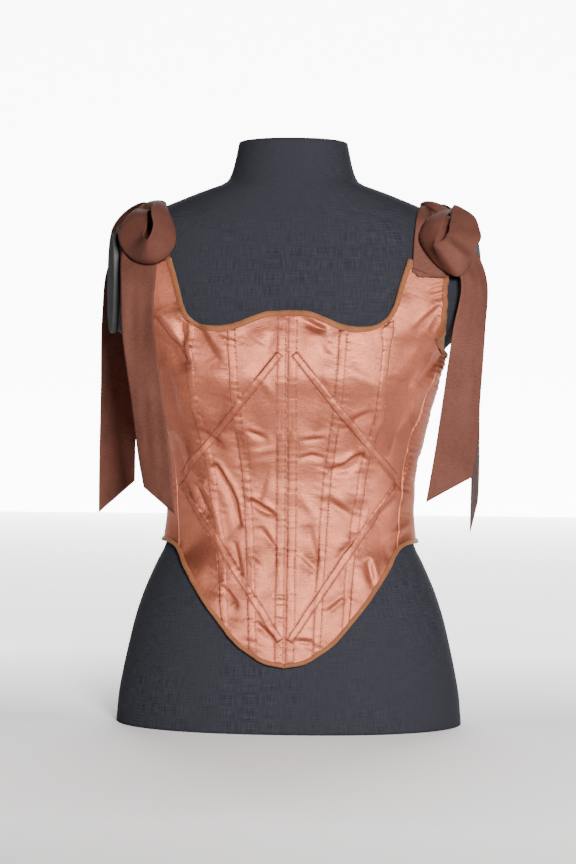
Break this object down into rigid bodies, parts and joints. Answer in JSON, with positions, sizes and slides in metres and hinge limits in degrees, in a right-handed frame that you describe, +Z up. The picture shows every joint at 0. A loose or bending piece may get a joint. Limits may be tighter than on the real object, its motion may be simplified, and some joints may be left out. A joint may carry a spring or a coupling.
{
  "type": "corset top on dress form",
  "caption": "Boned satin corset top with a pointed front hem, bound edges, a raised diamond of channels and ribbon bows on the shoulders, worn by a limbless dress form.",
  "frame": {"origin": "centre of the dress form's flat base", "axes": "+Z up, the front faces -Y, +X is the viewer's right when looking at the front"},
  "size_m": [0.4076, 0.2421, 0.593],
  "materials": {
    "satin": "rose copper satin, soft sheen",
    "binding": "caramel bias binding, matt",
    "ribbon": "brown grosgrain ribbon, fine ribs",
    "linen": "charcoal linen cover, matt",
    "plate": "smooth grey plate"
  },
  "bodies": {
    "root": {"panel_front_centre_r": "satin", "panel_front_mid_r": "satin", "panel_front_side_r": "satin", "panel_side_r": "satin", "panel_back_side_r": "satin", "panel_back_centre_r": "satin", "panel_front_centre_l": "satin", "panel_front_mid_l": "satin", "panel_front_side_l": "satin", "panel_side_l": "satin", "panel_back_side_l": "satin", "panel_back_centre_l": "satin", "casing_centre_r": "satin", "casing_inner_low_r": "satin", "casing_inner_middle_r": "satin", "casing_inner_top_r": "satin", "casing_outer_low_r": "satin", "casing_outer_middle_r": "satin", "casing_outer_top_r": "satin", "casing_diamond_upper_r": "satin", "casing_diamond_lower_r": "satin", "casing_centre_l": "satin", "casing_inner_low_l": "satin", "casing_inner_middle_l": "satin", "casing_inner_top_l": "satin", "casing_outer_low_l": "satin", "casing_outer_middle_l": "satin", "casing_outer_top_l": "satin", "casing_diamond_upper_l": "satin", "casing_diamond_lower_l": "satin", "binding_neck_front": "binding", "binding_neck_back": "binding", "binding_hem": "binding", "binding_armhole_r": "binding", "binding_armhole_l": "binding", "ribbon_strap_front_r": "ribbon", "ribbon_strap_back_r": "ribbon", "bow_knot_r": "ribbon", "bow_loop_front_r": "ribbon", "bow_loop_back_r": "ribbon", "tail_front_r": "ribbon", "tail_back_r": "ribbon", "ribbon_strap_front_l": "ribbon", "ribbon_strap_back_l": "ribbon", "bow_knot_l": "ribbon", "bow_loop_front_l": "ribbon", "bow_loop_back_l": "ribbon", "tail_front_l": "ribbon", "tail_back_l": "ribbon", "form_body": "linen", "arm_plate_r": "plate", "arm_plate_l": "plate"}
  },
  "joints": []
}
